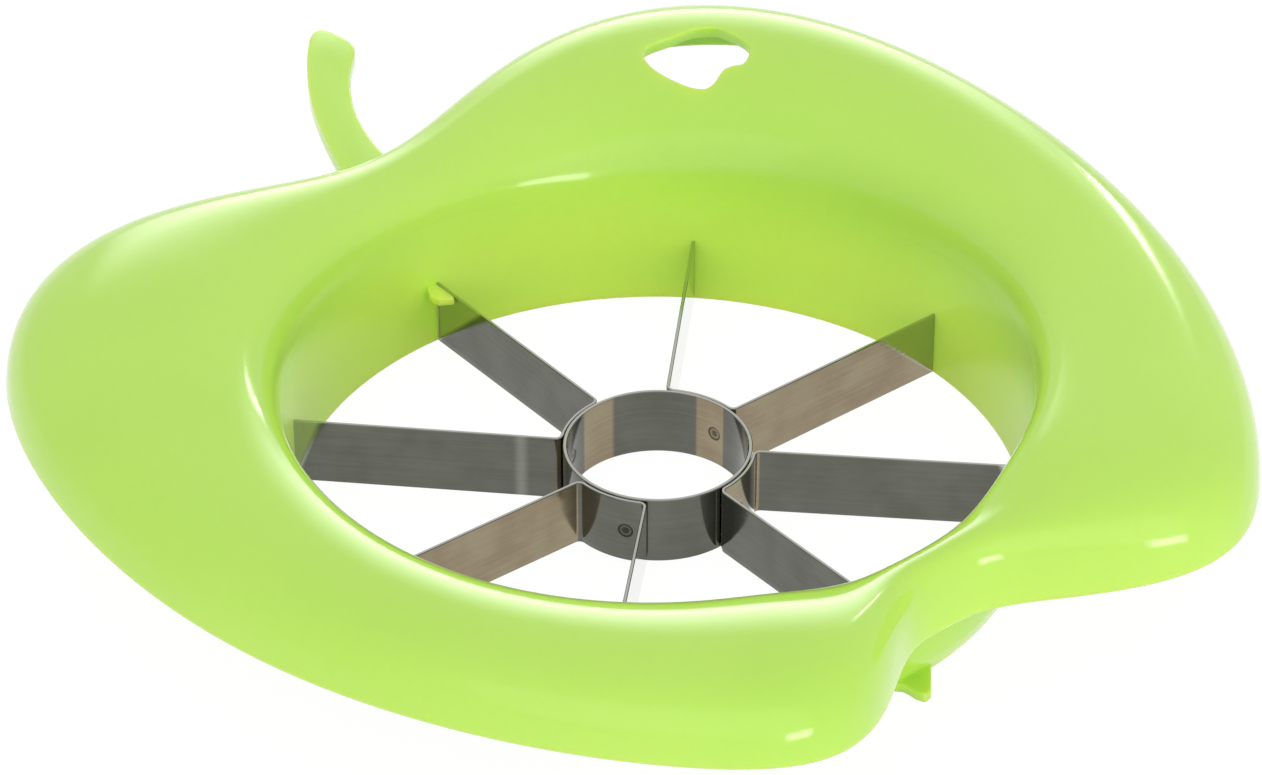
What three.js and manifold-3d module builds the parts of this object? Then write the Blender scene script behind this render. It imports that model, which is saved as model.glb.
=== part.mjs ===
import * as THREE from 'three';
import { NURBSCurve } from 'three/addons/curves/NURBSCurve.js';
import { mergeVertices } from 'three/addons/utils/BufferGeometryUtils.js';
import Module from 'manifold-3d';

const wasm = await Module();
wasm.setup();

// Apple-shaped slicer: a plastic grip shell round a steel core ring and eight blades. Millimetres,
// +Z up, +Y towards the stem; it lies on the foot of the shell's inner wall.

const degree = Math.PI / 180;
const clearance = 0.3;
const overrun = 1;

// Opening and shell wall
const openingRadius = 47.3;
const wall = 1.9;
const footWidth = 0.85;
const footTaper = 3;
const footBevel = 0.25;

// Width of the grip, from the opening to the outer lip, and how it varies round the apple
const gripWidth = 36.2;
const gripStemSwell = 11.9;
const gripEndSwell = 11.5;
const gripThirdSwell = 1.4;
const gripQuarterSwell = 1.3;
const gripSkew = 0.9;
const stemDipShare = 0.73;
const stemDipSpread = 35.9 * degree;
const flowerDipShare = 0.75;
const flowerDipSpread = 18.05 * degree;
const flowerDipTurn = 0.75 * degree;
const flowerDipSharpness = 2.8;

// Height at which the wall turns over into the grip
const rimHeight = 20.55;
const rimStemFall = 1;
const rimEndRise = 0.5;
const rimTilt = 1.1;
const rimTwist = 2.3;
const rimFlowerDip = 6.2;

// Height of the grip's crest, the round shoulder inside it and the drop to the outer lip
const crestHeight = 30.05;
const crestStemRise = 2.6;
const crestEndRise = 2.2;
const crestTilt = 1.5;
const crestTwist = 0.6;
const crestStemDip = 10.1;
const crestFlowerDip = 5.2;
const lipDrop = 10.95;
const lipDropStemRise = 0.9;
const lipDropEndRise = 0.8;
const shoulderPlaceShare = 0.13;
const shoulderRiseShare = 0.7;
const shoulderEndFallShare = 0.09;
const crestPlaceShare = 0.69;
const lipFullnessShare = 0.67;
const wallMiddleShare = 0.5;

// Facets of the shell
const sectionSteps = 104;
const skinSteps = 17;
const skinStartShare = 0.12;
const underSteps = 13;
const underStartShare = 0.16;

// Leaf-shaped hole in the grip
const leafLength = 14.3;
const leafBearing = -43.2 * degree;
const leafPlaceShare = 0.46;
const leafShares = [
  [0.01, 0.52], [0.11, 0.49], [0.18, 0.4], [0.26, 0.26], [0.34, 0.16], [0.4, 0.05], [0.42, -0.05],
  [0.42, -0.14], [0.37, -0.22], [0.27, -0.34], [0.17, -0.43], [0.07, -0.48], [-0.04, -0.48],
  [-0.14, -0.44], [-0.17, -0.35], [-0.21, -0.27], [-0.3, -0.22], [-0.37, -0.19], [-0.43, -0.14],
  [-0.45, -0.08], [-0.43, 0.03], [-0.37, 0.16], [-0.29, 0.29], [-0.19, 0.41], [-0.08, 0.49],
];

// Flat stem tab: middle line and width, root first
const stemLength = 34.1;
const stemWidth = 5.8;
const stemThickness = 2.3;
const stemTop = 19.05;
const stemRootShare = 0.6;
const stemLineShares = [
  [0.02, 0], [0.028, 0.08], [0.06, 0.19], [0.13, 0.395], [0.23, 0.59], [0.325, 0.73],
  [0.409, 0.859], [0.463, 0.943], [0.478, 1.021],
];
const stemWidthShares = [1.3, 1.14, 1.02, 0.98, 1, 1.08, 1.17, 1.07, 0.41];

// Pointed tab at the flower end, on the foot of the wall
const flowerTabLength = 4.8;
const flowerTabWidth = 7.4;
const flowerTabThickness = 1.4;
const flowerTabShares = [
  [-0.26, 0], [-0.15, 0.17], [-0.06, 0.32], [-0.03, 0.52], [-0.02, 0.76], [0.04, 0.96], [0.1, 1],
  [0.21, 0.95], [0.53, 0.38], [0.74, 0],
];

// Core ring and blade strips
const coreRadius = 12.2;
const coreWall = 0.55;
const coreHeight = 9.8;
const coreSides = 96;
const stripCount = 4;
const stripThickness = 0.6;
const stripSpread = 45 * degree;
const stripTurns = [0.85 * degree, 0.2 * degree, -0.4 * degree, 1.35 * degree];
const bendRadius = 0.9;
const bendSteps = 5;
const flangeSteps = 12;
const bladeHeight = 9.4;
const tongueLength = 1;
const tongueBottom = 3.4;
const tongueTop = 8.2;
const weldRadius = 1.5;
const weldDepth = 0.15;
const weldSides = 20;

// Lug on the wall beside the stem-side blade
const lugLength = 4.4;
const lugWidth = 2.25;
const lugThickness = 1.1;
const lugShares = [[0, 0], [0, 0.88], [0.12, 1], [0.85, 0.77], [1, 0.52], [0.85, 0.25], [0.62, 0]];

const plastic = new THREE.MeshStandardMaterial({ color: 0xacdf58, roughness: 0.22, metalness: 0 });
const steel = { color: 0xa9a8a4, roughness: 0.28, metalness: 1 };

function toSolid(geometry) {
  geometry.deleteAttribute('normal');
  geometry.deleteAttribute('uv');
  const merged = mergeVertices(geometry);
  return new wasm.Manifold(new wasm.Mesh({
    numProp: 3,
    vertProperties: new Float32Array(merged.attributes.position.array),
    triVerts: new Uint32Array(merged.index.array),
  }));
}

function toMesh(solid, name, material) {
  const { vertProperties, triVerts } = solid.getMesh();
  const geometry = new THREE.BufferGeometry();
  geometry.setAttribute('position', new THREE.BufferAttribute(vertProperties, 3));
  geometry.setIndex(new THREE.BufferAttribute(triVerts, 1));
  const mesh = new THREE.Mesh(geometry, material);
  mesh.name = name;
  return mesh;
}

// Upright prism on a plan outline
function prism(outline, bottom, top) {
  const shape = new THREE.Shape(outline.map(([x, y]) => new THREE.Vector2(x, y)));
  const geometry = new THREE.ExtrudeGeometry(shape, { depth: top - bottom, bevelEnabled: false });
  geometry.translate(0, 0, bottom);
  return toSolid(geometry);
}

// Block lying along one bearing, from an inner to an outer radius
function radialBlock(inner, outer, width, bottom, top, bearing) {
  const geometry = new THREE.BoxGeometry(outer - inner, width, top - bottom);
  geometry.translate((inner + outer) / 2, 0, (bottom + top) / 2);
  geometry.rotateZ(bearing);
  return toSolid(geometry);
}

// Short pin across a curved sheet at one bearing
function weldPin(inner, outer, bearing) {
  const geometry = new THREE.CylinderGeometry(weldRadius, weldRadius, outer - inner, weldSides);
  geometry.rotateZ(Math.PI / 2);
  geometry.translate((inner + outer) / 2, 0, bladeHeight / 2);
  geometry.rotateZ(bearing);
  return toSolid(geometry);
}

// How far a bearing, measured from the stem, lies inside the two dips of the apple
function dips(bearing) {
  const away = Math.abs(Math.atan2(Math.sin(bearing), Math.cos(bearing)));
  const turned = bearing - Math.PI - flowerDipTurn;
  const fromFlower = Math.abs(Math.atan2(Math.sin(turned), Math.cos(turned)));
  return {
    stem: Math.exp(-((away / stemDipSpread) ** 2)),
    flower: Math.exp(-((fromFlower / flowerDipSpread) ** flowerDipSharpness)),
  };
}

function widthAt(bearing) {
  const { stem, flower } = dips(bearing);
  const plain = gripWidth
    + gripStemSwell * Math.cos(bearing)
    + gripEndSwell * Math.cos(2 * bearing)
    + gripThirdSwell * Math.cos(3 * bearing)
    + gripQuarterSwell * Math.cos(4 * bearing)
    + gripSkew * Math.sin(2 * bearing);
  return plain * (1 - stemDipShare * stem) * (1 - flowerDipShare * flower);
}

// Outer skin of the shell in the plane of one bearing, from the wall's foot over the crest to the lip
function skinAt(bearing) {
  const { stem, flower } = dips(bearing);
  const once = Math.cos(bearing);
  const twice = Math.cos(2 * bearing);
  const side = Math.sin(bearing);
  const diagonal = Math.sin(2 * bearing);
  const width = widthAt(bearing);
  const rim = rimHeight - rimStemFall * once + rimEndRise * twice - rimTilt * side + rimTwist * diagonal
    - rimFlowerDip * flower;
  const crest = crestHeight + crestStemRise * once + crestEndRise * twice - crestTilt * side
    - crestTwist * diagonal - crestStemDip * stem - crestFlowerDip * flower;
  const lip = crest - lipDrop - lipDropStemRise * once - lipDropEndRise * twice;
  const shoulder = rim + (crest - rim) * (shoulderRiseShare - shoulderEndFallShare * twice);
  const points = [
    [0, footBevel],
    [0, wallMiddleShare * rim],
    [0, rim],
    [shoulderPlaceShare * width, shoulder],
    [crestPlaceShare * width, crest],
    [width, lip + lipFullnessShare * (crest - lip)],
    [width, lip],
  ].map(([out, z]) => new THREE.Vector4(openingRadius + out, z, 0, 1));
  return new NURBSCurve(3, [0, 0, 0, 0, 0.25, 0.5, 0.75, 1, 1, 1, 1], points);
}

// Closed section of the shell: the skin, the lip's edge, the underside and the foot
function sectionAt(bearing) {
  const skin = skinAt(bearing);
  const section = [[openingRadius + footBevel, 0], [openingRadius, footBevel]];
  for (let i = 0; i <= skinSteps; i += 1) {
    const point = skin.getPoint(skinStartShare + (1 - skinStartShare) * i / skinSteps);
    section.push([point.x, point.y]);
  }
  for (let i = underSteps; i >= 0; i -= 1) {
    const place = underStartShare + (1 - underStartShare) * i / underSteps;
    const point = skin.getPoint(place);
    const along = skin.getTangent(place);
    section.push([point.x + wall * along.y, point.y - wall * along.x]);
  }
  section.push([openingRadius + wall, footTaper], [openingRadius + footWidth, 0]);
  return section;
}

function shellBody() {
  const positions = [];
  const indices = [];
  let count = 0;
  for (let i = 0; i < sectionSteps; i += 1) {
    const bearing = 2 * Math.PI * i / sectionSteps;
    const section = sectionAt(bearing);
    count = section.length;
    for (const [radius, z] of section) {
      positions.push(-radius * Math.sin(bearing), radius * Math.cos(bearing), z);
    }
  }
  for (let i = 0; i < sectionSteps; i += 1) {
    const next = (i + 1) % sectionSteps;
    for (let j = 0; j < count; j += 1) {
      const up = (j + 1) % count;
      const a = i * count + j;
      const b = i * count + up;
      const c = next * count + up;
      const d = next * count + j;
      indices.push(a, b, c, a, c, d);
    }
  }
  const geometry = new THREE.BufferGeometry();
  geometry.setAttribute('position', new THREE.Float32BufferAttribute(positions, 3));
  geometry.setIndex(indices);
  return toSolid(geometry);
}

// Radius of the skin on the stem's bearing at the stem's middle height, on the outer side of the crest
function stemRootRadius() {
  const skin = skinAt(0);
  const height = stemTop - stemThickness / 2;
  let low = crestPlaceShare;
  let high = 1;
  for (let i = 0; i < 30; i += 1) {
    const middle = (low + high) / 2;
    if (skin.getPoint(middle).y > height) low = middle;
    else high = middle;
  }
  return skin.getPoint(low).x - stemRootShare * wall;
}

function stemTab() {
  const root = stemRootRadius();
  const line = stemLineShares.map(([x, y]) => [x * stemLength, root + y * stemLength]);
  const left = [];
  const right = [];
  line.forEach(([x, y], i) => {
    const before = line[Math.max(i - 1, 0)];
    const after = line[Math.min(i + 1, line.length - 1)];
    const turn = Math.atan2(after[1] - before[1], after[0] - before[0]);
    const half = stemWidthShares[i] * stemWidth / 2;
    left.push([x - half * Math.sin(turn), y + half * Math.cos(turn)]);
    right.unshift([x + half * Math.sin(turn), y - half * Math.cos(turn)]);
  });
  left[0][1] = root;
  right[right.length - 1][1] = root;
  return prism([...left, ...right], stemTop - stemThickness, stemTop);
}

function flowerTab() {
  const root = openingRadius + (footBevel + footWidth) / 2;
  const outline = flowerTabShares.map(([x, y]) => [x * flowerTabWidth, -root - y * flowerTabLength]);
  return prism(outline, 0, flowerTabThickness);
}

function leafHole() {
  const middle = openingRadius + leafPlaceShare * widthAt(leafBearing);
  const turn = Math.PI / 2 + leafBearing;
  const outline = leafShares.map(([out, round]) => {
    const along = middle + out * leafLength;
    const across = round * leafLength;
    return [
      along * Math.cos(turn) - across * Math.sin(turn),
      along * Math.sin(turn) + across * Math.cos(turn),
    ];
  });
  return prism(outline, footTaper, crestHeight + crestStemRise + crestEndRise + overrun);
}

function lug() {
  const inset = wall / 2;
  const side = stripThickness / 2 + clearance;
  const outline = lugShares.map(([x, y]) => [-side - x * lugWidth, openingRadius - y * lugLength]);
  outline.push([-side - lugWidth * lugShares.at(-1)[0], openingRadius + inset], [-side, openingRadius + inset]);
  return prism(outline, bladeHeight - lugThickness, bladeHeight);
}

// Bearing at which a strip starts: evenly spaced, with the small turn left by hand welding
function stripStart(i) {
  return 2 * Math.PI * i / stripCount + stripTurns[i];
}

function bladeBearings() {
  const bearings = [];
  for (let i = 0; i < stripCount; i += 1) {
    bearings.push(stripStart(i), stripStart(i) + stripSpread);
  }
  return bearings;
}

function gripShell() {
  let solid = shellBody().add(stemTab()).add(flowerTab()).add(lug()).subtract(leafHole());
  for (const bearing of bladeBearings()) {
    solid = solid.subtract(radialBlock(
      openingRadius - overrun,
      openingRadius + tongueLength + clearance,
      stripThickness + 2 * clearance,
      tongueBottom - clearance,
      tongueTop + clearance,
      bearing,
    ));
  }
  return solid;
}

// Short tube, dimpled on the inside where the strips are welded on
function coreRing() {
  const inner = coreRadius - coreWall;
  const profile = [[inner, 0], [coreRadius, 0], [coreRadius, coreHeight], [inner, coreHeight], [inner, 0]];
  const geometry = new THREE.LatheGeometry(profile.map(([x, y]) => new THREE.Vector2(x, y)), coreSides);
  geometry.rotateX(Math.PI / 2);
  let solid = toSolid(geometry);
  for (let i = 0; i < stripCount; i += 1) {
    const bearing = stripStart(i) + stripSpread / 2;
    solid = solid.subtract(weldPin(inner - overrun, inner + weldDepth, bearing));
  }
  return solid;
}

// Bent strip: blade, bend, flange round the core ring, bend, blade
function bladeStrip() {
  const half = stripThickness / 2;
  const flangeRadius = coreRadius + clearance + half;
  const bendDistance = flangeRadius + bendRadius;
  const bendTurn = Math.asin(bendRadius / bendDistance);
  const bendStart = Math.sqrt(bendDistance ** 2 - bendRadius ** 2);
  const reach = openingRadius + tongueLength;
  const line = [[reach, 0, 0]];
  for (let i = 0; i <= bendSteps; i += 1) {
    const turn = (Math.PI / 2 - bendTurn) * i / bendSteps;
    line.push([bendStart - bendRadius * Math.sin(turn), bendRadius - bendRadius * Math.cos(turn), turn]);
  }
  for (let i = 1; i < flangeSteps; i += 1) {
    const round = bendTurn + (stripSpread - 2 * bendTurn) * i / flangeSteps;
    line.push([flangeRadius * Math.cos(round), flangeRadius * Math.sin(round), Math.PI / 2 - round]);
  }
  const mirror = (x, y) => [
    x * Math.cos(stripSpread) + y * Math.sin(stripSpread),
    x * Math.sin(stripSpread) - y * Math.cos(stripSpread),
  ];
  const outer = line.map(([x, y, turn]) => [x + half * Math.sin(turn), y + half * Math.cos(turn)]);
  const inner = line.map(([x, y, turn]) => [x - half * Math.sin(turn), y - half * Math.cos(turn)]);
  const ends = bendSteps + 2;
  const outline = [
    ...outer,
    ...outer.slice(0, ends).reverse().map(([x, y]) => mirror(x, y)),
    ...inner.slice(0, ends).map(([x, y]) => mirror(x, y)),
    ...inner.reverse(),
  ];
  let solid = prism(outline, 0, bladeHeight);
  const edge = openingRadius - clearance;
  const away = reach + overrun;
  for (const bearing of [0, stripSpread]) {
    solid = solid.subtract(radialBlock(edge, away, away, -overrun, tongueBottom, bearing));
    solid = solid.subtract(radialBlock(edge, away, away, tongueTop, bladeHeight + overrun, bearing));
  }
  const skin = flangeRadius + half;
  return solid.subtract(weldPin(skin - weldDepth, skin + overrun, stripSpread / 2));
}

const slicer = new THREE.Group();
slicer.add(toMesh(gripShell(), 'grip_shell', plastic));
slicer.add(toMesh(coreRing(), 'core_ring', new THREE.MeshStandardMaterial(steel)));
for (let i = 0; i < stripCount; i += 1) {
  const strip = toMesh(bladeStrip(), `blade_strip_${i + 1}`, new THREE.MeshStandardMaterial(steel));
  strip.rotation.z = stripStart(i);
  slicer.add(strip);
}

// The origin is the middle of the bottom of the whole part
const box = new THREE.Box3().setFromObject(slicer);
const middle = box.getCenter(new THREE.Vector3());
slicer.position.set(-middle.x, -middle.y, -box.min.z);

export default slicer;
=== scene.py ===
import math
import bmesh
import bpy
import numpy as np
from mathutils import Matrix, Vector


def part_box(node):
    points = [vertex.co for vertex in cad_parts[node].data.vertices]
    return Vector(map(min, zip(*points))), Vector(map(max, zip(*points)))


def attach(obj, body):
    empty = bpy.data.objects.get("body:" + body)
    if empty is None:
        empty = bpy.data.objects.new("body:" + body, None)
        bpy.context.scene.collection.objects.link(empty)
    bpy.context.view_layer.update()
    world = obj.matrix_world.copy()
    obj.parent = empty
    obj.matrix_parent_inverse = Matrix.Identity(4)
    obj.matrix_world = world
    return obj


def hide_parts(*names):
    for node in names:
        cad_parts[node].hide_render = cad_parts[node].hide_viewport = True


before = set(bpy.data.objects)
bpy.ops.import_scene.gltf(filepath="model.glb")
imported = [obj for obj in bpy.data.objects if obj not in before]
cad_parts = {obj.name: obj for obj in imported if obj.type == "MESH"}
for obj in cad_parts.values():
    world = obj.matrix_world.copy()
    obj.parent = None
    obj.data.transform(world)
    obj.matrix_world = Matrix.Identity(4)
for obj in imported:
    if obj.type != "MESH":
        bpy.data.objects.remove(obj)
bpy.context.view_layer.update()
ring_low, ring_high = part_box("core_ring")
blade_axis = (ring_low + ring_high) / 2
blade_axis.z = 0
mm = 0.001

# Grip shell: one moulding of glossy, slightly translucent green plastic in the outline of an apple.
# The round wall of the opening turns over into a wide domed grip that ends in a thin outer lip.
opening_radius = 47.3 * mm
wall = 1.9 * mm
foot_width = 0.85 * mm
foot_taper = 3 * mm
foot_round = 0.25 * mm
lip_round = 0.85 * mm
stem_dip_spread = math.radians(35.9)
stem_dip_share = 0.73
flower_dip_turn = math.radians(0.75)
flower_dip_spread = math.radians(18.05)
flower_dip_sharpness = 2.8
flower_dip_share = 0.75
rim_flower_dip = 6.2 * mm
crest_stem_dip = 10.1 * mm
crest_flower_dip = 5.2 * mm
# Each row: the mean, then what comes on with the cosine of the bearing and of 2, 3 and 4 times it, and
# with the sine of the bearing and of twice it, in millimetres
width_waves = (36.19, 11.9, 11.5, 1.4, 1.3, 0, 0.9)
rim_waves = (20.55, -1, 0.5, 0, 0, -1.1, 2.3)
crest_waves = (30.01, 2.6, 2.2, 0, 0, -1.5, -0.6)
lip_drop_waves = (10.95, 0.9, 0.8, 0, 0, 0, 0)
shoulder_width_share = 0.13
shoulder_rise_share = 0.7
shoulder_rise_wave = 0.09
crest_width_share = 0.69
lip_guide_share = 0.67


def apple_dips(bearing):
    """How far a bearing from the stem lies in the dip at the stem and in the notch at the flower."""
    from_stem = np.abs((bearing + math.pi) % (2 * math.pi) - math.pi)
    from_flower = np.abs((bearing - flower_dip_turn) % (2 * math.pi) - math.pi)
    stem = np.exp(-((from_stem / stem_dip_spread) ** 2))
    flower = np.exp(-((from_flower / flower_dip_spread) ** flower_dip_sharpness))
    return stem, flower


def wave_round(bearing, waves):
    mean, once, twice, thrice, four_times, side, diagonal = waves
    return (mean + once * np.cos(bearing) + twice * np.cos(2 * bearing) + thrice * np.cos(3 * bearing)
            + four_times * np.cos(4 * bearing) + side * np.sin(bearing) + diagonal * np.sin(2 * bearing)) * mm


def grip_width(bearing):
    stem, flower = apple_dips(bearing)
    return wave_round(bearing, width_waves) * (1 - stem_dip_share * stem) * (1 - flower_dip_share * flower)


def skin_guides(bearing):
    """Seven guide points (radius, height) of the outer skin for each bearing from the stem."""
    stem, flower = apple_dips(bearing)
    width = grip_width(bearing)
    rim = wave_round(bearing, rim_waves) - rim_flower_dip * flower
    crest = wave_round(bearing, crest_waves) - crest_stem_dip * stem - crest_flower_dip * flower
    lip = crest - wave_round(bearing, lip_drop_waves)
    shoulder = rim + (crest - rim) * (shoulder_rise_share - shoulder_rise_wave * np.cos(2 * bearing))
    flat = np.zeros_like(bearing)
    out = [flat, flat, flat, shoulder_width_share * width, crest_width_share * width, width, width]
    up = [flat + foot_round, rim / 2, rim, shoulder, crest, lip + lip_guide_share * (crest - lip), lip]
    return np.stack([opening_radius + np.array(out), np.array(up)], -1).transpose(1, 0, 2)


def spline_shares(places):
    """Share of each guide point in a clamped cubic spline at the given places, and their slopes."""
    knots = [0, 0, 0, 0, 0.25, 0.5, 0.75, 1, 1, 1, 1]
    just_inside = 1 - 1e-9
    places = np.clip(np.asarray(places, float), 0, just_inside)
    lower = [np.where((places >= a) & (places < b), 1.0, 0.0) for a, b in zip(knots, knots[1:])]
    for degree in (1, 2, 3):
        shares = []
        slopes = []
        for i in range(len(lower) - 1):
            share = 0 * places
            slope = 0 * places
            rising = knots[i + degree] - knots[i]
            falling = knots[i + degree + 1] - knots[i + 1]
            if rising > 0:
                share = share + (places - knots[i]) / rising * lower[i]
                slope = slope + degree / rising * lower[i]
            if falling > 0:
                share = share + (knots[i + degree + 1] - places) / falling * lower[i + 1]
                slope = slope - degree / falling * lower[i + 1]
            shares.append(share)
            slopes.append(slope)
        lower = shares
    return np.array(shares).T, np.array(slopes).T


def skin_points(bearing, places):
    """Points of the outer skin and its direction there, for each bearing and place along the section."""
    guides = skin_guides(bearing)
    found = []
    for weights in spline_shares(places):
        spread = np.broadcast_to(weights, (len(bearing),) + weights.shape[-2:])
        found.append(np.einsum("bpk,bkc->bpc", spread, guides))
    point, along = found
    return point, along / np.linalg.norm(along, axis=-1, keepdims=True)


def at_bearing(radius, bearing, height):
    """Place in the part: bearings run anticlockwise from the stem, round the blades' axis."""
    return np.stack([blade_axis.x - radius * np.sin(bearing), blade_axis.y + radius * np.cos(bearing),
                     height + 0 * radius], -1)


def faces_round(turns, count):
    """Faces of a closed form that carries a section of this many points round in this many turns."""
    faces = []
    for i in range(turns):
        here, there = i * count, (i + 1) % turns * count
        for j in range(count):
            up = (j + 1) % count
            faces.append((here + j, here + up, there + up, there + j))
    return faces


def shell_mesh():
    turns = 320
    skin_places = np.linspace(0, 1, 74)[1:-1]
    underside_places = np.linspace(0.975, 0.16, 46)
    quarter = math.pi / 2
    bearing = np.arange(turns) * 2 * math.pi / turns
    flat = np.zeros(turns)
    rows = []
    for a in np.linspace(0, quarter, 6):
        out, up = foot_round * (1 - np.sin(a)), foot_round * (1 - np.cos(a))
        rows.append((opening_radius + out + flat, up + flat))
    skin, _ = skin_points(bearing, skin_places)
    for i in range(skin.shape[1]):
        rows.append((skin[:, i, 0], skin[:, i, 1]))
    last, _ = skin_points(bearing, [1])
    edge, low = last[:, 0, 0], last[:, 0, 1]
    for a in np.linspace(0, quarter, 7):
        rows.append((edge - lip_round * (1 - np.cos(a)), low + lip_round * (1 - np.sin(a))))
    for a in np.linspace(0, quarter, 7):
        rows.append((edge - wall + lip_round * (1 - np.sin(a)), low + lip_round * (1 - np.cos(a))))
    under, along = skin_points(bearing, underside_places)
    for i in range(under.shape[1]):
        rows.append((under[:, i, 0] + wall * along[:, i, 1], under[:, i, 1] - wall * along[:, i, 0]))
    start = under[:, -1, 1] - wall * along[:, -1, 0]
    for share in (0.6, 1.0):
        rows.append((opening_radius + wall + flat, start + (foot_taper - start) * share))
    for share in (0.35, 0.7, 0.96):
        out = wall + (foot_width - wall) * share
        rows.append((opening_radius + out + flat, foot_taper * (1 - share) + flat))
    rows.append((opening_radius + foot_width - foot_round * 0.6 + flat, flat))
    points = np.stack([at_bearing(r, bearing, z) for r, z in rows], 1).reshape(-1, 3)
    mesh = bpy.data.meshes.new("grip_shell_form")
    mesh.from_pydata(points.tolist(), [], faces_round(turns, len(rows)))
    return mesh


def placed(name, data):
    thing = bpy.data.objects.new(name, data)
    bpy.context.scene.collection.objects.link(thing)
    return thing


def plan_slab(name, outline, low, high, rounding, steps=3):
    """Flat tab on a plan outline with its edges rounded over."""
    mesh = bpy.data.meshes.new(name)
    bm = bmesh.new()
    floor = bm.faces.new([bm.verts.new((x, y, low)) for x, y in outline])
    made = bmesh.ops.extrude_face_region(bm, geom=[floor])["geom"]
    top = [v for v in made if isinstance(v, bmesh.types.BMVert)]
    bmesh.ops.translate(bm, verts=top, vec=(0, 0, high - low))
    bmesh.ops.recalc_face_normals(bm, faces=bm.faces)
    level = [e for e in bm.edges if abs(e.verts[0].co.z - e.verts[1].co.z) < 1e-7]
    bmesh.ops.bevel(bm, geom=level, offset=rounding, segments=steps, profile=0.5, affect="EDGES",
                    clamp_overlap=True)
    bm.to_mesh(mesh)
    bm.free()
    return placed(name, mesh)


def smooth_line(points, per_span, closed=False):
    """Points along a smooth curve through the given ones."""
    points = np.array(points, float)
    count = len(points)
    spans = count if closed else count - 1
    made = []
    for i in range(spans):
        if closed:
            a, b, c, d = (points[(i + k) % count] for k in (-1, 0, 1, 2))
        else:
            a, b, c, d = (points[min(max(i + k, 0), count - 1)] for k in (-1, 0, 1, 2))
        for k in range(per_span):
            t = k / per_span
            bend = (c - a) * t + (2 * a - 5 * b + 4 * c - d) * t ** 2 + (3 * b - a - 3 * c + d) * t ** 3
            made.append(0.5 * (2 * b + bend))
    if not closed:
        made.append(points[-1])
    return np.array(made)


# Stem tab: a flat tab of the same plastic, moulded in one with the shell. It springs from the far side
# of the crest, leans over like an apple's stem and ends in a slanted cut.
stem_length = 34.1 * mm
stem_top = 19.05 * mm
stem_thickness = 2.3 * mm
stem_rounding = 0.45 * mm
stem_edge = [
    (-0.09, 0.004), (-0.071, 0.093), (-0.02, 0.246), (0.042, 0.405), (0.112, 0.559), (0.192, 0.7),
    (0.286, 0.842), (0.378, 0.957), (0.428, 1.002), (0.47, 1.01), (0.494, 0.974), (0.506, 0.92),
    (0.513, 0.862), (0.502, 0.81), (0.472, 0.77), (0.412, 0.705), (0.347, 0.624), (0.291, 0.54),
    (0.235, 0.442), (0.189, 0.335), (0.15, 0.21), (0.128, 0.09), (0.127, 0.004),
]


def stem_outline():
    """Edge of the stem tab in plan, up its left side, round its end and down its right side."""
    root_depth = 0.6 * wall
    crest_to_lip = np.linspace(0.69, 1, 400)
    skin, _ = skin_points(np.array([0.0]), crest_to_lip)
    middle_height = stem_top - stem_thickness / 2
    root = float(np.interp(-middle_height, -skin[0, :, 1], skin[0, :, 0])) - root_depth
    edge = smooth_line(stem_edge, 5) * stem_length
    return [(blade_axis.x + x, blade_axis.y + root + y) for x, y in edge]


# Leaf hole: an opening through the grip beside the stem, left free in the moulding. It has a rounded
# upper edge and widens slightly downwards, so that the moulding comes off its core.
leaf_bearing = math.radians(-43.2)
leaf_place = 0.46
leaf_length = 14.3 * mm
leaf_draft = 0.7 * mm
leaf_rounding = 0.3 * mm
leaf_outline = [
    (0.01, 0.52), (0.11, 0.49), (0.18, 0.4), (0.26, 0.26), (0.34, 0.16), (0.4, 0.05), (0.42, -0.05),
    (0.42, -0.14), (0.37, -0.22), (0.27, -0.34), (0.17, -0.43), (0.07, -0.48), (-0.04, -0.48),
    (-0.14, -0.44), (-0.17, -0.35), (-0.21, -0.27), (-0.3, -0.22), (-0.37, -0.19), (-0.43, -0.14),
    (-0.45, -0.08), (-0.43, 0.03), (-0.37, 0.16), (-0.29, 0.29), (-0.19, 0.41), (-0.08, 0.49),
]


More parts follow.
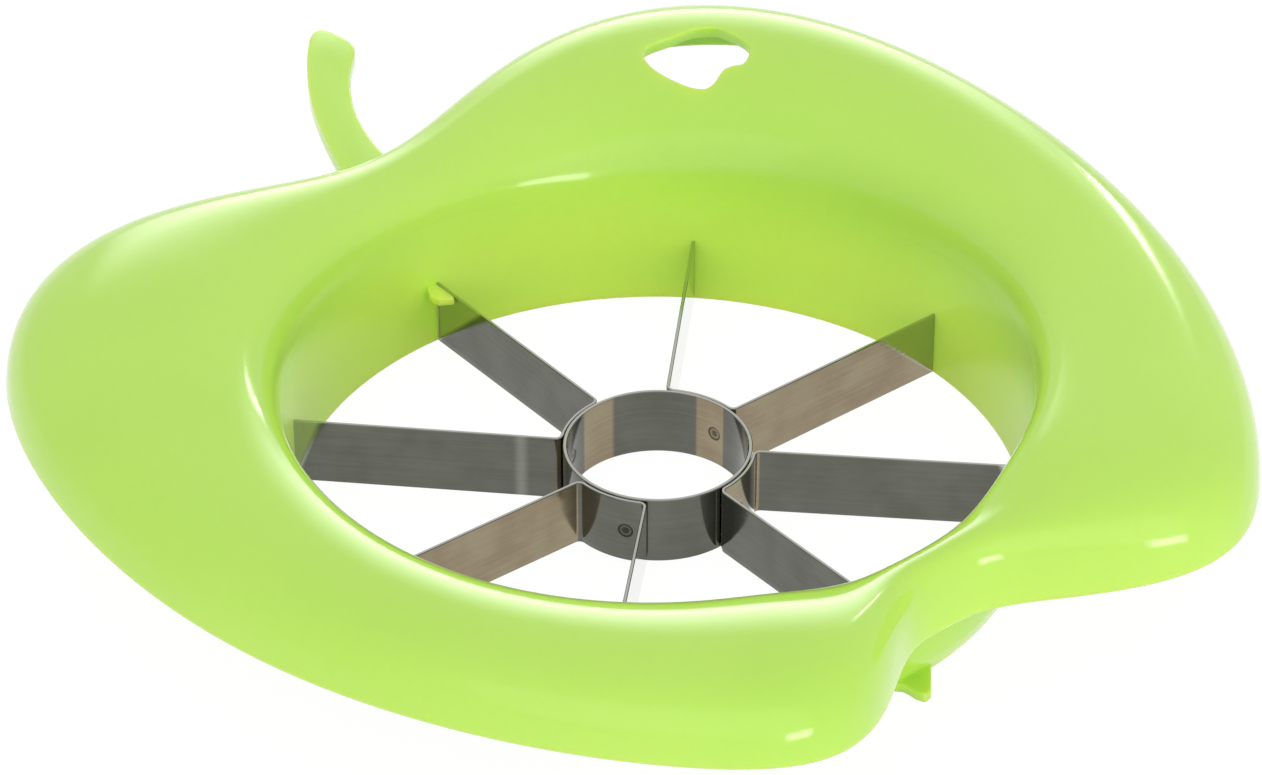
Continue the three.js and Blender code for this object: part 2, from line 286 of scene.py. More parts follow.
def leaf_cutter():
    """Leaf-shaped punch whose upper end flares, so that the hole's edge comes out rounded."""
    lowest = 10 * mm
    draft_depth = 2.4 * mm
    above = 0.6 * mm
    turn = math.pi / 2 + leaf_bearing
    local = smooth_line(leaf_outline, 4, closed=True) * leaf_length
    local[:, 0] += opening_radius + leaf_place * float(grip_width(np.array([leaf_bearing]))[0])
    outline = np.stack([local[:, 0] * math.cos(turn) - local[:, 1] * math.sin(turn),
                        local[:, 0] * math.sin(turn) + local[:, 1] * math.cos(turn)], 1)
    onward = np.roll(outline, -1, 0)
    if np.sum(outline[:, 0] * onward[:, 1] - outline[:, 1] * onward[:, 0]) < 0:
        outline = outline[::-1]
    along = np.roll(outline, -1, 0) - np.roll(outline, 1, 0)
    along /= np.linalg.norm(along, axis=1, keepdims=True)
    outward = np.stack([along[:, 1], -along[:, 0]], 1)
    bearing = np.arctan2(-outline[:, 0], outline[:, 1])
    radius = np.hypot(outline[:, 0], outline[:, 1])
    rim_to_lip = np.linspace(0.3, 1, 200)
    skin, _ = skin_points(bearing, rim_to_lip)
    height = np.array([np.interp(r, s[:, 0], s[:, 1]) for r, s in zip(radius, skin)])
    rings = [(leaf_draft, 0 * height + lowest), (leaf_draft, height - draft_depth)]
    for a in np.linspace(0, math.pi / 2, 6):
        rings.append((leaf_rounding * (1 - math.cos(a)), height - leaf_rounding * (1 - math.sin(a))))
    rings.append((leaf_rounding * 1.6, height + above))
    points, faces = [], []
    for out, level in rings:
        spread = outline + outward * out
        points += [(blade_axis.x + x, blade_axis.y + y, z) for (x, y), z in zip(spread, level)]
    count = len(outline)
    for k in range(len(rings) - 1):
        for i in range(count):
            j = (i + 1) % count
            faces.append((k * count + i, k * count + j, (k + 1) * count + j, (k + 1) * count + i))
    faces.append(tuple(reversed(range(count))))
    faces.append(tuple(range((len(rings) - 1) * count, len(rings) * count)))
    mesh = bpy.data.meshes.new("leaf_cutter")
    mesh.from_pydata(points, [], faces)
    return placed("leaf_cutter", mesh)


# Flower tab, lug and rib: small parts of the same moulding. The flat flower tab stands out under the
# notch, and the lug and a thin upright rib stand on the wall beside one blade's end.
flower_tab_width = 7.4 * mm
flower_tab_length = 4.8 * mm
flower_tab_thickness = 1.4 * mm
flower_tab_rounding = 0.25 * mm
flower_tab_edge = [
    (-0.26, 0), (-0.15, 0.17), (-0.06, 0.32), (-0.03, 0.52), (-0.02, 0.76), (0.04, 0.96), (0.1, 1),
    (0.21, 0.95), (0.53, 0.38), (0.74, 0),
]
lug_width = 2.4 * mm
lug_reach = 4.4 * mm
lug_top = 9.4 * mm
lug_thickness = 1.1 * mm
lug_rounding = 0.2 * mm
lug_edge = [
    (0, -0.24), (0, 0.88), (0.12, 1), (0.85, 0.77), (1, 0.52), (0.85, 0.25), (0.62, 0), (0.62, -0.24),
]
rib_side = 0.42 * mm
rib_thickness = 0.43 * mm
rib_depth = 0.4 * mm
rib_low = 0.5 * mm
rib_high = 9.1 * mm
rib_rounding = 0.1 * mm
foot_middle = opening_radius + (foot_round + foot_width) / 2
wall_place = blade_axis.y + opening_radius
foot_place = blade_axis.y - foot_middle
flower_tab_outline = [(blade_axis.x + x * flower_tab_width, foot_place - y * flower_tab_length)
                      for x, y in flower_tab_edge]
lug_outline = [(blade_axis.x - rib_side - x * lug_width, wall_place - y * lug_reach) for x, y in lug_edge]
rib_outline = [(blade_axis.x - rib_side - x * rib_thickness, wall_place + y * rib_depth)
               for x, y in ((0, 1), (0, -1), (1, -1), (1, 1))]

grip_shell = placed("grip_shell_moulding", shell_mesh())
tools = [
    (plan_slab("stem_tab", stem_outline(), stem_top - stem_thickness, stem_top, stem_rounding, 4), "UNION"),
    (plan_slab("flower_tab", flower_tab_outline, 0, flower_tab_thickness, flower_tab_rounding), "UNION"),
    (plan_slab("blade_lug", lug_outline, lug_top - lug_thickness, lug_top, lug_rounding), "UNION"),
    (plan_slab("blade_rib", rib_outline, rib_low, rib_high, rib_rounding), "UNION"),
    (leaf_cutter(), "DIFFERENCE"),
]
for tool, operation in tools:
    join = grip_shell.modifiers.new(tool.name, "BOOLEAN")
    join.operation = operation
    join.solver = "EXACT"
    join.object = tool
shaped = bpy.data.meshes.new_from_object(grip_shell.evaluated_get(bpy.context.evaluated_depsgraph_get()))
grip_shell.modifiers.clear()
grip_shell.data = shaped
for tool, _ in tools:
    bpy.data.objects.remove(tool)
shaped.shade_smooth()
shaped.set_sharp_from_angle(angle=math.radians(38))


def fresh_nodes(owner):
    """Clear the nodes of a material or world; return what makes and what links new ones."""
    owner.use_nodes = True
    owner.node_tree.nodes.clear()
    return owner.node_tree.nodes.new, owner.node_tree.links.new


def operation_node(make, kind, operation):
    node = make(kind)
    node.operation = operation
    return node


def noise_node(make, scale, detail):
    node = make("ShaderNodeTexNoise")
    node.inputs["Scale"].default_value = scale
    node.inputs["Detail"].default_value = detail
    return node


def ramp_node(make, low, high, colours):
    """Colour ramp from the first of two colours at low to the second at high."""
    node = make("ShaderNodeValToRGB")
    for stop, place, colour in zip(node.color_ramp.elements, (low, high), colours):
        stop.position = place
        stop.color = (*colour, 1)
    return node


def range_node(make, low, high, result_low=0, result_high=1):
    """Node that takes the span from low to high to the span between the results."""
    node = make("ShaderNodeMapRange")
    node.inputs["From Min"].default_value = low
    node.inputs["From Max"].default_value = high
    node.inputs["To Min"].default_value = result_low
    node.inputs["To Max"].default_value = result_high
    return node


def mix_node(make, second=None):
    """Mix of two colours, of which the second may be given."""
    node = make("ShaderNodeMix")
    node.data_type = "RGBA"
    if second:
        node.inputs["B"].default_value = (*second, 1)
    return node


def bump_node(make, strength, distance):
    node = make("ShaderNodeBump")
    node.inputs["Strength"].default_value = strength
    node.inputs["Distance"].default_value = distance
    return node


def about_axis(make, link, place):
    """Coordinates from the blades' axis, the same in plan only, and the distance from the axis."""
    centre = make("ShaderNodeMapping")
    centre.inputs["Location"].default_value = (-blade_axis.x, -blade_axis.y, 0)
    in_plan = operation_node(make, "ShaderNodeVectorMath", "MULTIPLY")
    in_plan.inputs[1].default_value = (1, 1, 0)
    from_axis = operation_node(make, "ShaderNodeVectorMath", "LENGTH")
    link(place.outputs["Object"], centre.inputs["Vector"])
    link(centre.outputs["Vector"], in_plan.inputs[0])
    link(in_plan.outputs["Vector"], from_axis.inputs[0])
    return centre.outputs["Vector"], in_plan.outputs["Vector"], from_axis.outputs["Value"]


def green_plastic():
    """Glossy green with a painted glow: low on the inner wall its colour is painted lighter, as if lit
    through, and that wall has a satin face.
    """
    plain_greens = ((0.475, 0.74, 0.11), (0.515, 0.775, 0.128))
    painted_glow_greens = ((0.64, 0.975, 0.12), (0.68, 0.99, 0.135))
    glow_fades_above, glow_full_below = 24 * mm, 10 * mm
    skin_starts, skin_goes_on = opening_radius + 0.1 * mm, opening_radius + 1.5 * mm
    plastic = bpy.data.materials.new("green_plastic")
    make, link = fresh_nodes(plastic)
    out = make("ShaderNodeOutputMaterial")
    shader = make("ShaderNodeBsdfPrincipled")
    place = make("ShaderNodeTexCoord")
    _, _, from_axis = about_axis(make, link, place)
    cloud = noise_node(make, scale=22, detail=2)
    speck = noise_node(make, scale=900, detail=3)
    flow = noise_node(make, scale=45, detail=1)
    # Painted glow: the lighter greens are mixed in low down, fully on the inner wall and less further out,
    # and stand in for light shining through the plastic.
    plain_tone = ramp_node(make, 0.3, 0.7, plain_greens)
    glow_tone = ramp_node(make, 0.3, 0.7, painted_glow_greens)
    height = make("ShaderNodeSeparateXYZ")
    # The painted glow's share grows from none at 24 mm height to full at 10 mm.
    lower = range_node(make, glow_fades_above, glow_full_below)
    lower.interpolation_type = "SMOOTHSTEP"
    glow_by_radius = range_node(make, opening_radius + wall / 2, opening_radius + wall, 1, 0.4)
    painted_glow = operation_node(make, "ShaderNodeMath", "MULTIPLY")
    colour = mix_node(make)
    shine = range_node(make, skin_starts, skin_goes_on, 0.28, 0.5)
    satin = range_node(make, skin_starts, skin_goes_on, 0.36, 0)
    polish = range_node(make, 0, 1, 0.09, 0.16)
    rougher = operation_node(make, "ShaderNodeMath", "MAXIMUM")
    ripple = bump_node(make, strength=0.05, distance=0.002)
    grain = bump_node(make, strength=0.04, distance=0.0002)
    for noise in (cloud, speck, flow):
        link(place.outputs["Object"], noise.inputs["Vector"])
    link(place.outputs["Object"], height.inputs["Vector"])
    link(height.outputs["Z"], lower.inputs["Value"])
    link(cloud.outputs["Fac"], plain_tone.inputs["Fac"])
    link(cloud.outputs["Fac"], glow_tone.inputs["Fac"])
    for zone in (glow_by_radius, shine, satin):
        link(from_axis, zone.inputs["Value"])
    link(lower.outputs["Result"], painted_glow.inputs[0])
    link(glow_by_radius.outputs["Result"], painted_glow.inputs[1])
    link(painted_glow.outputs["Value"], colour.inputs["Factor"])
    link(plain_tone.outputs["Color"], colour.inputs["A"])
    link(glow_tone.outputs["Color"], colour.inputs["B"])
    link(speck.outputs["Fac"], polish.inputs["Value"])
    link(polish.outputs["Result"], rougher.inputs[0])
    link(satin.outputs["Result"], rougher.inputs[1])
    link(flow.outputs["Fac"], ripple.inputs["Height"])
    link(speck.outputs["Fac"], grain.inputs["Height"])
    link(ripple.outputs["Normal"], grain.inputs["Normal"])
    link(colour.outputs["Result"], shader.inputs["Base Color"])
    link(shine.outputs["Result"], shader.inputs["Specular IOR Level"])
    link(rougher.outputs["Value"], shader.inputs["Roughness"])
    link(grain.outputs["Normal"], shader.inputs["Normal"])
    shader.inputs["IOR"].default_value = 1.5
    shader.inputs["Subsurface Weight"].default_value = 0.7
    shader.inputs["Subsurface Radius"].default_value = (1.0, 1.0, 0.35)
    shader.inputs["Subsurface Scale"].default_value = 0.003
    link(shader.outputs["BSDF"], out.inputs["Surface"])
    return plastic


grip_shell.data.materials.clear()
grip_shell.data.materials.append(green_plastic())
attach(grip_shell, "root")
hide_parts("grip_shell")


# Core ring: a short tube rolled from thin stainless sheet. It cuts out the core, and shows the small
# round marks of the spot welds that hold the blade strips.
core_radius = 12.2 * mm
core_wall = 0.55 * mm
core_height = 9.52 * mm
blade_height = 9.4 * mm
sheet_edge = 0.1 * mm
strip_turns = [math.radians(90 * i + off) for i, off in enumerate((0.85, 0.2, -0.4, 1.35))]
strip_spread = math.radians(45)
weld_shares = (0.26, 0.7, 0.74, 0.32)
weld_bearings = [turn + share * strip_spread for turn, share in zip(strip_turns, weld_shares)]
weld_height = blade_height / 2
weld_radius = 1.1 * mm
weld_depth = 0.12 * mm
weld_button_radius = 0.45 * mm
weld_button_rise = 0.09 * mm


def press_welds(points, radius, inward):
    """Press the dimples of the spot welds into the points that lie on a round face of this radius."""
    x, y = points[:, 0] - blade_axis.x, points[:, 1] - blade_axis.y
    angle, reach = np.arctan2(y, x), np.hypot(x, y)
    away = (angle[:, None] - np.array(weld_bearings)[None] + math.pi) % (2 * math.pi) - math.pi
    distance = np.hypot(np.abs(away).min(1) * radius, points[:, 2] - weld_height)
    dish = weld_depth * np.clip(1 - (distance / weld_radius) ** 4, 0, 1)
    button = weld_button_rise * np.exp(-((distance / weld_button_radius) ** 2))
    on_face = np.abs(reach - radius) < 0.02 * mm
    change = np.where(on_face, dish - button, 0) * (-1 if inward else 1)
    points[:, 0] += change * np.cos(angle)
    points[:, 1] += change * np.sin(angle)
    return points


def ring_painted_reflections(make, link, centred, grey):
    """Painted warm reflection in bands round the ring's face, and its grey."""
    bands_from = 4
    round_ring = make("ShaderNodeTexGradient")
    round_ring.gradient_type = "RADIAL"
    bands = make("ShaderNodeValToRGB")
    bands.color_ramp.interpolation = "EASE"
    first, second = bands.color_ramp.elements
    first.position = 0.5 + bands_from / 360
    first.color = (0, 0, 0, 1)
    second.position = 0.5 + (bands_from + 1.5) / 360
    second.color = (1, 1, 1, 1)
    for angle, level in ((25, 1), (27, 0), (80.5, 0), (82.5, 1), (105.5, 1), (107.5, 0)):
        edge = bands.color_ramp.elements.new(0.5 + angle / 360)
        edge.color = (level, level, level, 1)
    link(centred, round_ring.inputs["Vector"])
    link(round_ring.outputs["Fac"], bands.inputs["Fac"])
    return bands.outputs["Color"], grey.outputs["Color"]


def strip_painted_reflections(make, link, place, grey):
    """Painted warm reflection on faces turned along the y axis, and the grey with a painted pale reflection
    on faces turned along one diagonal.
    """
    facing = make("ShaderNodeSeparateXYZ")
    flat = operation_node(make, "ShaderNodeMath", "ABSOLUTE")
    warm_reflection_side = range_node(make, 0.86, 0.97)
    across = operation_node(make, "ShaderNodeVectorMath", "DOT_PRODUCT")
    across.inputs[1].default_value = (math.sqrt(0.5), -math.sqrt(0.5), 0)
    either = operation_node(make, "ShaderNodeMath", "ABSOLUTE")
    grazing_faces = range_node(make, 0.96, 0.99)
    painted_pale_reflection = mix_node(make, (0.8, 0.8, 0.78))
    link(place.outputs["Normal"], facing.inputs["Vector"])
    link(facing.outputs["Y"], flat.inputs[0])
    link(flat.outputs["Value"], warm_reflection_side.inputs["Value"])
    link(place.outputs["Normal"], across.inputs[0])
    link(across.outputs["Value"], either.inputs[0])
    link(either.outputs["Value"], grazing_faces.inputs["Value"])
    link(grazing_faces.outputs["Result"], painted_pale_reflection.inputs["Factor"])
    link(grey.outputs["Color"], painted_pale_reflection.inputs["A"])
    return warm_reflection_side.outputs["Result"], painted_pale_reflection.outputs["Result"]


def painted_wall_reflection(make, link, centred, from_axis):
    """Share of painted reflection of the wall, which makes the steel lighter close to the wall, along a line
    that slants down the blades.
    """
    reflection_starts, reflection_full = 47.0 * mm, 47.9 * mm
    above = make("ShaderNodeSeparateXYZ")
    stemward = operation_node(make, "ShaderNodeVectorMath", "DOT_PRODUCT")
    stemward.inputs[1].default_value = (1, 1, 0)
    level_side = range_node(make, -12 * mm, -4 * mm, 0, 0.37)
    stem_side = range_node(make, 8 * mm, 20 * mm, 0, 0.68)
    slant = operation_node(make, "ShaderNodeMath", "ADD")
    reach = operation_node(make, "ShaderNodeMath", "MULTIPLY_ADD")
    near_wall = range_node(make, reflection_starts, reflection_full)
    link(centred, above.inputs["Vector"])
    link(centred, stemward.inputs[0])
    link(stemward.outputs["Value"], level_side.inputs["Value"])
    link(stemward.outputs["Value"], stem_side.inputs["Value"])
    link(level_side.outputs["Result"], slant.inputs[0])
    link(stem_side.outputs["Result"], slant.inputs[1])
    link(above.outputs["Z"], reach.inputs[0])
    link(slant.outputs["Value"], reach.inputs[1])
    link(from_axis, reach.inputs[2])
    link(reach.outputs["Value"], near_wall.inputs["Value"])
    return near_wall.outputs["Result"]


def painted_highlight_line(make, link, in_plan, colour):
    """The colour, made lighter along one upright line on a blade as a painted highlight."""
    highlight_reach, highlight_bearing = 17.7 * mm, math.radians(135.2)
    to_line = operation_node(make, "ShaderNodeVectorMath", "DISTANCE")
    highlight_place = (highlight_reach * math.cos(highlight_bearing), highlight_reach * math.sin(highlight_bearing), 0)
    to_line.inputs[1].default_value = highlight_place
    highlight_fade = range_node(make, 0, 1.25 * mm, 1.75, 1)
    highlight_fade.interpolation_type = "SMOOTHSTEP"
    with_highlight = operation_node(make, "ShaderNodeVectorMath", "SCALE")
    link(in_plan, to_line.inputs[0])
    link(to_line.outputs["Value"], highlight_fade.inputs["Value"])
    link(highlight_fade.outputs["Result"], with_highlight.inputs["Scale"])
    link(colour, with_highlight.inputs[0])
    return with_highlight.outputs["Vector"]


def weld_tints(make, link, centred):
    """Light and dark rings round the spot welds."""
    nearest = None
    for bearing in weld_bearings:
        to_weld = operation_node(make, "ShaderNodeVectorMath", "DISTANCE")
        to_weld.inputs[1].default_value = (core_radius * math.cos(bearing), core_radius * math.sin(bearing),
                                           weld_height)
        link(centred, to_weld.inputs[0])
        if nearest is None:
            nearest = to_weld.outputs["Value"]
            continue
        closer = operation_node(make, "ShaderNodeMath", "MINIMUM")
        link(nearest, closer.inputs[0])
        link(to_weld.outputs["Value"], closer.inputs[1])
        nearest = closer.outputs["Value"]
    weld_rings = range_node(make, 0, 2 * mm)
    weld_ring_levels = ramp_node(make, 0.3, 0.36, ((0.35, 0.33, 0.3), (0.8, 0.8, 0.75)))
    for share, level in ((0.42, 0.75), (0.47, 0.22), (0.53, 0.25), (0.6, 1.0)):
        tint = weld_ring_levels.color_ramp.elements.new(share)
        tint.color = (level, level, level, 1)
    link(nearest, weld_rings.inputs["Value"])
    link(weld_rings.outputs["Result"], weld_ring_levels.inputs["Fac"])
    return weld_ring_levels.outputs["Color"]


def steel(name, ring_bands):
    """Rolled stainless sheet with fine lines along the strip: olive grey, with painted warm reflections on
    some faces and round the ring, painted highlights and a painted reflection of the wall.
    """
    sheet = bpy.data.materials.new(name)
    make, link = fresh_nodes(sheet)
    out = make("ShaderNodeOutputMaterial")
    shader = make("ShaderNodeBsdfPrincipled")
    place = make("ShaderNodeTexCoord")
    centred, in_plan, from_axis = about_axis(make, link, place)
    stretch = make("ShaderNodeMapping")
    stretch.inputs["Scale"].default_value = (50, 50, 2600)
    lines = noise_node(make, scale=1, detail=4)
    cloud = noise_node(make, scale=190, detail=4)
    smear = make("ShaderNodeMix")
    smear.inputs["Factor"].default_value = 0.6
    # grey is the sheet's own colour; warm is the colour of the painted warm reflection.
    grey = ramp_node(make, 0.38, 0.62, ((0.116, 0.119, 0.10), (0.146, 0.148, 0.127)))
    warm = ramp_node(make, 0.38, 0.62, ((0.262, 0.208, 0.142), (0.315, 0.27, 0.178)))
    link(centred, stretch.inputs["Vector"])
    link(stretch.outputs["Vector"], lines.inputs["Vector"])
    link(centred, cloud.inputs["Vector"])
    link(lines.outputs["Fac"], smear.inputs["A"])
    link(cloud.outputs["Fac"], smear.inputs["B"])
    link(smear.outputs["Result"], grey.inputs["Fac"])
    link(smear.outputs["Result"], warm.inputs["Fac"])
    if ring_bands:
        warm_reflection_share, plain = ring_painted_reflections(make, link, centred, grey)
    else:
        warm_reflection_share, plain = strip_painted_reflections(make, link, place, grey)
    # Mix in the painted warm reflection.
    tone = mix_node(make)
    link(warm_reflection_share, tone.inputs["Factor"])
    link(plain, tone.inputs["A"])
    link(warm.outputs["Color"], tone.inputs["B"])
    # Painted reflection of the wall: the steel is painted lighter near the blades' ends.
    wall_reflection_mix = mix_node(make, (0.46, 0.48, 0.42))
    link(painted_wall_reflection(make, link, centred, from_axis), wall_reflection_mix.inputs["Factor"])
    link(painted_highlight_line(make, link, in_plan, tone.outputs["Result"]), wall_reflection_mix.inputs["A"])
    welded = mix_node(make)
    welded.blend_type = "MULTIPLY"
    welded.inputs["Factor"].default_value = 1
    link(wall_reflection_mix.outputs["Result"], welded.inputs["A"])
    link(weld_tints(make, link, centred), welded.inputs["B"])
    # Painted highlight: faces turned upwards, the sheet's top edges, are painted lighter.
    upward = make("ShaderNodeSeparateXYZ")
    painted_top_highlight = range_node(make, 0.8, 0.96)
    edge = mix_node(make, (0.52, 0.52, 0.48))
    link(place.outputs["Normal"], upward.inputs["Vector"])
    link(upward.outputs["Z"], painted_top_highlight.inputs["Value"])
    link(painted_top_highlight.outputs["Result"], edge.inputs["Factor"])
    link(welded.outputs["Result"], edge.inputs["A"])
    gloss = range_node(make, 0, 1, 0.06, 0.15)
    scratch = bump_node(make, strength=0.1, distance=0.0001)
    link(lines.outputs["Fac"], gloss.inputs["Value"])
    link(lines.outputs["Fac"], scratch.inputs["Height"])
    link(edge.outputs["Result"], shader.inputs["Base Color"])
    link(gloss.outputs["Result"], shader.inputs["Roughness"])
    link(scratch.outputs["Normal"], shader.inputs["Normal"])
    shader.inputs["Metallic"].default_value = 1
    link(shader.outputs["BSDF"], out.inputs["Surface"])
    return sheet


def ring_mesh():
    inner = core_radius - core_wall
    turns = 288
    angle = np.arange(turns) * 2 * math.pi / turns
    upright = np.linspace(sheet_edge, core_height - sheet_edge, 46)
    rows = [(inner + sheet_edge, 0)] + [(inner, z) for z in upright]
    rows += [(inner + sheet_edge, core_height), (core_radius - sheet_edge, core_height)]
    rows += [(core_radius, z) for z in upright[::-1]] + [(core_radius - sheet_edge, 0)]
    points = [np.stack([blade_axis.x + r * np.cos(angle), blade_axis.y + r * np.sin(angle),
                        z + 0 * angle], -1) for r, z in rows]
    points = press_welds(np.stack(points, 1).reshape(-1, 3), inner, False)
    mesh = bpy.data.meshes.new("core_ring_form")
    mesh.from_pydata(points.tolist(), [], faces_round(turns, len(rows)))
    mesh.shade_smooth()
    mesh.set_sharp_from_angle(angle=math.radians(30))
    return mesh


core_ring = placed("core_ring_tube", ring_mesh())
core_ring.data.materials.append(steel("ring_steel", True))
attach(core_ring, "root")
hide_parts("core_ring")


# Blade strips: four strips of the same sheet, each bent into a V. The curved flange in the middle lies on
# the core ring, and the two straight ends are blades whose tips are moulded into the shell's wall.
sheet_thickness = 0.46 * mm
bend_radius = 0.9 * mm
seam = 0.06 * mm
blade_reach = opening_radius + 0.5 * mm
ground_height = 0.7 * mm
lowest_point = 0.04 * mm
ground_share = 0.3


def strip_mesh():
    """One strip with its flange round the ring's axis, and its section carried along its middle line."""
    half = sheet_thickness / 2
    flange = core_radius + seam + half
    distance = flange + bend_radius
    bend_turn = math.asin(bend_radius / distance)
    bend_start = math.sqrt(distance ** 2 - bend_radius ** 2)
    side = [(x, 0.0, 0.0) for x in np.linspace(blade_reach, bend_start, 16)[:-1]]
    for a in np.linspace(0, math.pi / 2 - bend_turn, 9):
        side.append((bend_start - bend_radius * math.sin(a), bend_radius * (1 - math.cos(a)), a))
    middle = []
    for a in np.linspace(bend_turn, strip_spread - bend_turn, 49)[1:-1]:
        middle.append((flange * math.cos(a), flange * math.sin(a), math.pi / 2 - a))
    c, s = math.cos(strip_spread), math.sin(strip_spread)
    back = [(x * c + y * s, x * s - y * c, math.pi - strip_spread - turn) for x, y, turn in side[::-1]]
    line = np.array(side + middle + back)
    normal = np.stack([np.sin(line[:, 2]), np.cos(line[:, 2])], 1)
    rise = np.concatenate([[lowest_point], np.linspace(ground_height, blade_height - sheet_edge, 34)])
    loop = [(1, z) for z in rise] + [(0.66, blade_height), (-0.66, blade_height)]
    loop += [(-1, z) for z in rise[::-1]] + [(-0.2, 0), (0.2, 0)]
    points = []
    for side_share, z in loop:
        if z < ground_height:
            side_share = math.copysign(ground_share, side_share)
        across = line[:, :2] + normal * half * side_share
        points.append(np.column_stack([across, z + 0 * line[:, 0]]))
    points = np.stack(points, 1)
    stations, count = points.shape[:2]
    faces = []
    for i in range(stations - 1):
        for j in range(count):
            up = (j + 1) % count
            faces.append((i * count + j, (i + 1) * count + j, (i + 1) * count + up, i * count + up))
    faces.append(tuple(range(count)))
    faces.append(tuple(reversed(range((stations - 1) * count, stations * count))))
    mesh = bpy.data.meshes.new("blade_strip_form")
    mesh.from_pydata(points.reshape(-1, 3).tolist(), [], faces)
    bm = bmesh.new()
    bm.from_mesh(mesh)
    bmesh.ops.recalc_face_normals(bm, faces=bm.faces)
    bm.to_mesh(mesh)
    bm.free()
    mesh.shade_smooth()
    mesh.set_sharp_from_angle(angle=math.radians(30))
    return mesh


def strips_round_the_ring():
    """Node tree that sets one strip on each point, turned about the ring's axis by the point's own turn."""
    tree = bpy.data.node_groups.new("blade_strips_round_ring", "GeometryNodeTree")
    face = tree.interface
    face.new_socket("Places", in_out="INPUT", socket_type="NodeSocketGeometry")
    strip = face.new_socket("Strip", in_out="INPUT", socket_type="NodeSocketObject")
    finish = face.new_socket("Sheet Steel", in_out="INPUT", socket_type="NodeSocketMaterial")
    face.new_socket("Blades", in_out="OUTPUT", socket_type="NodeSocketGeometry")
    make, link = tree.nodes.new, tree.links.new
    given, result = make("NodeGroupInput"), make("NodeGroupOutput")
    form = make("GeometryNodeObjectInfo")
    turn = make("GeometryNodeInputNamedAttribute")
    turn.data_type = "FLOAT"
    turn.inputs["Name"].default_value = "turn"
    angles = make("ShaderNodeCombineXYZ")
    put = make("GeometryNodeInstanceOnPoints")
    real = make("GeometryNodeRealizeInstances")
    coat = make("GeometryNodeSetMaterial")
    link(given.outputs["Strip"], form.inputs["Object"])
    link(turn.outputs["Attribute"], angles.inputs["Z"])
    link(given.outputs["Places"], put.inputs["Points"])
    link(form.outputs["Geometry"], put.inputs["Instance"])
    link(angles.outputs["Vector"], put.inputs["Rotation"])
    link(put.outputs["Instances"], real.inputs["Geometry"])
    link(real.outputs["Geometry"], coat.inputs["Geometry"])
    link(given.outputs["Sheet Steel"], coat.inputs["Material"])
    link(coat.outputs["Geometry"], result.inputs["Blades"])
    return tree, strip.identifier, finish.identifier


one_strip = placed("one_strip", strip_mesh())
starts = bpy.data.meshes.new("strip_places")
starts.from_pydata([(blade_axis.x, blade_axis.y, 0)] * len(strip_turns), [], [])
starts.attributes.new("turn", "FLOAT", "POINT").data.foreach_set("value", strip_turns)
blades = placed("blade_strips", starts)
strip_tree, strip_key, steel_key = strips_round_the_ring()
spread = blades.modifiers.new("strips", "NODES")
spread.node_group = strip_tree
spread[strip_key] = one_strip
spread[steel_key] = steel("blade_steel", False)
made = bpy.data.meshes.new_from_object(blades.evaluated_get(bpy.context.evaluated_depsgraph_get()))
blades.modifiers.clear()
places = np.empty(3 * len(made.vertices))
made.vertices.foreach_get("co", places)
pressed = press_welds(places.reshape(-1, 3), core_radius + seam + sheet_thickness, True)
made.vertices.foreach_set("co", pressed.ravel())
made.update()
blades.data = made
bpy.data.objects.remove(one_strip)
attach(blades, "root")
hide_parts("blade_strip_1", "blade_strip_2", "blade_strip_3", "blade_strip_4")


# Surroundings: a plain white floor under the part, soft studio lamps and the photograph's camera.
floor_reach = 3
floor_level = -0.4 * mm
shown_share = 0.9


def light_or_white(make, link, plain, white, most=1):
    """Shader that a camera, glossy or transmission ray sees as white, and all other rays as plain."""
    path = make("ShaderNodeLightPath")
    seen = operation_node(make, "ShaderNodeMath", "MAXIMUM")
    seen_too = operation_node(make, "ShaderNodeMath", "MAXIMUM")
    share = operation_node(make, "ShaderNodeMath", "MULTIPLY")
    share.inputs[1].default_value = most
    blend = make("ShaderNodeMixShader")
    link(path.outputs["Is Camera Ray"], seen.inputs[0])
    link(path.outputs["Is Glossy Ray"], seen.inputs[1])
    link(seen.outputs["Value"], seen_too.inputs[0])
    link(path.outputs["Is Transmission Ray"], seen_too.inputs[1])
    link(seen_too.outputs["Value"], share.inputs[0])
    link(share.outputs["Value"], blend.inputs["Fac"])
    link(plain, blend.inputs[1])
    link(white, blend.inputs[2])
    return blend.outputs["Shader"]


floor_mesh = bpy.data.meshes.new("floor")
floor_corners = [(x * floor_reach, y * floor_reach, floor_level)
                 for x, y in ((-1, -1), (1, -1), (1, 1), (-1, 1))]
floor_mesh.from_pydata(floor_corners, [], [(0, 1, 2, 3)])
floor = placed("floor", floor_mesh)
paper = bpy.data.materials.new("white_floor")
make, link = fresh_nodes(paper)
paper_out = make("ShaderNodeOutputMaterial")
matt = make("ShaderNodeBsdfDiffuse")
matt.inputs["Color"].default_value = (0.9, 0.9, 0.9, 1)
glow = make("ShaderNodeEmission")
glow.inputs["Color"].default_value = (1, 1, 1, 1)
glow.inputs["Strength"].default_value = 1.06
lit_paper = light_or_white(make, link, matt.outputs["BSDF"], glow.outputs["Emission"], shown_share)
link(lit_paper, paper_out.inputs["Surface"])
floor_mesh.materials.append(paper)

world = bpy.data.worlds.new("studio")
bpy.context.scene.world = world
make, link = fresh_nodes(world)
world_out = make("ShaderNodeOutputWorld")
room = make("ShaderNodeBackground")
room.inputs["Strength"].default_value = 1.0
backdrop = make("ShaderNodeBackground")
backdrop.inputs["Strength"].default_value = 1.02
lit_room = light_or_white(make, link, room.outputs["Background"], backdrop.outputs["Background"])
link(lit_room, world_out.inputs["Surface"])

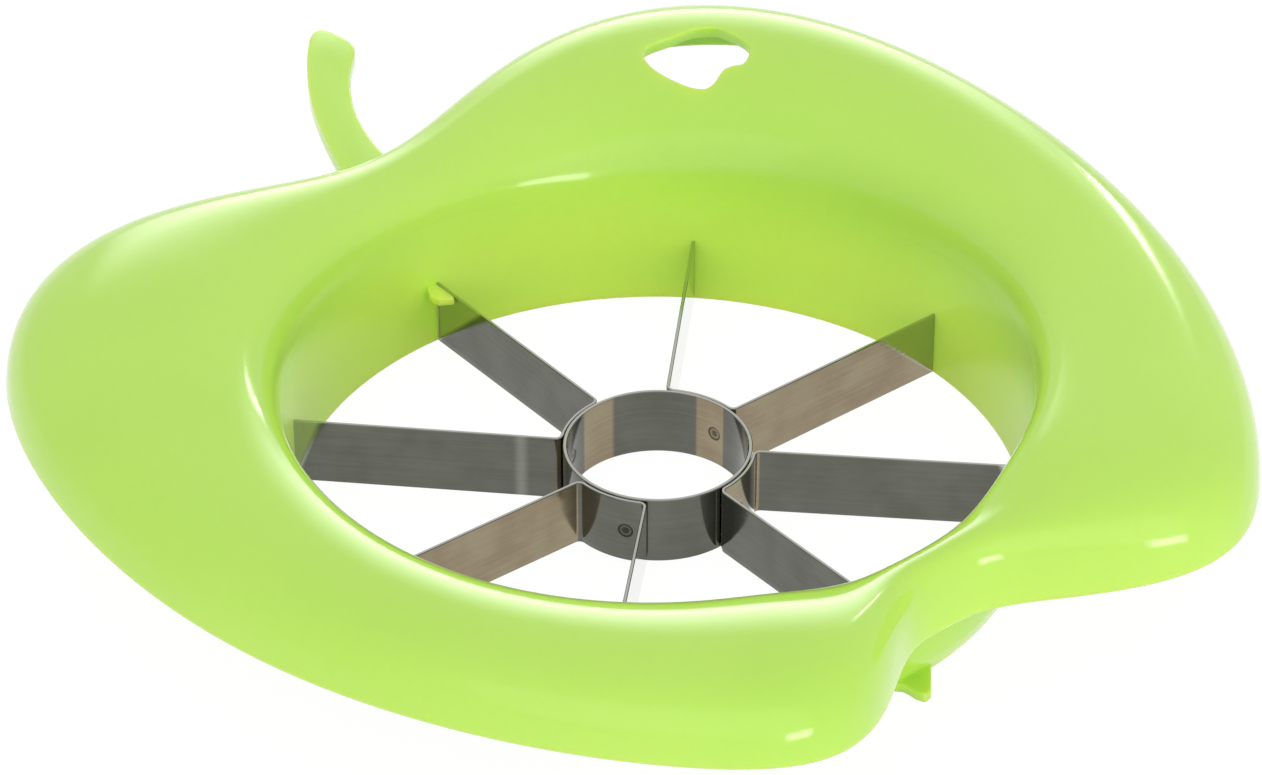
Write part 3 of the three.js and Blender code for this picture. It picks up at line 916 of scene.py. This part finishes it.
part_middle = Vector((blade_axis.x, blade_axis.y, 15 * mm))
away_from_camera = math.radians(38.07)


def round_the_part(turned, rise, distance):
    """Place at a distance from the part, turned clockwise from the direction away from the camera."""
    turned, rise = away_from_camera + math.radians(turned), math.radians(rise)
    level = math.cos(rise)
    direction = Vector((level * math.sin(turned), level * math.cos(turned), math.sin(rise)))
    return part_middle + distance * direction


def soft_lamp(name, place, size, power):
    """Rectangular lamp that looks at the middle of the part."""
    light = bpy.data.lights.new(name, "AREA")
    light.shape = "RECTANGLE"
    light.size, light.size_y = size
    light.energy = power
    lamp = placed(name, light)
    lamp.location = place
    lamp.rotation_euler = (part_middle - place).to_track_quat("-Z", "Y").to_euler()


soft_lamp("front_softbox", round_the_part(147, 6, 1.3), size=(0.5, 0.24), power=3.0)
soft_lamp("front_wall", round_the_part(180, 36, 1.8), size=(3.0, 1.8), power=9.5)
soft_lamp("strip_lamp", round_the_part(21, 17, 1.3), size=(0.018, 0.3), power=0.4)
# The white panel behind the part is stacked from seven, each lower and narrower than the last
panel_distance = 1.3
panel_power_by_area = 1.5
for step in range(7):
    top = 29 - 3 * step
    size = (0.84 - 0.07 * step, panel_distance * math.radians(top - 2))
    place = round_the_part(1, 1 + top / 2, panel_distance)
    soft_lamp("back_panel_%d" % top, place, size, panel_power_by_area * size[0] * size[1])

photo_width = 1262
focal_length_in_pixels = 5410.9
sensor = 36
camera_rise = math.radians(35.34)
camera_data = bpy.data.cameras.new("photo_camera")
camera_data.lens = focal_length_in_pixels / photo_width * sensor
camera_data.sensor_width = sensor
camera_data.clip_start = 0.05
camera_data.clip_end = 20
camera = placed("photo_camera", camera_data)
camera.location = (blade_axis.x - 0.3493, blade_axis.y - 0.4404, 0.41705)
level = math.cos(camera_rise)
look = Vector((level * math.sin(away_from_camera), level * math.cos(away_from_camera),
               -math.sin(camera_rise)))
camera.rotation_mode = "QUATERNION"
camera.rotation_quaternion = look.to_track_quat("-Z", "Y")
bpy.context.scene.camera = camera
bpy.context.scene.view_settings.view_transform = "Standard"
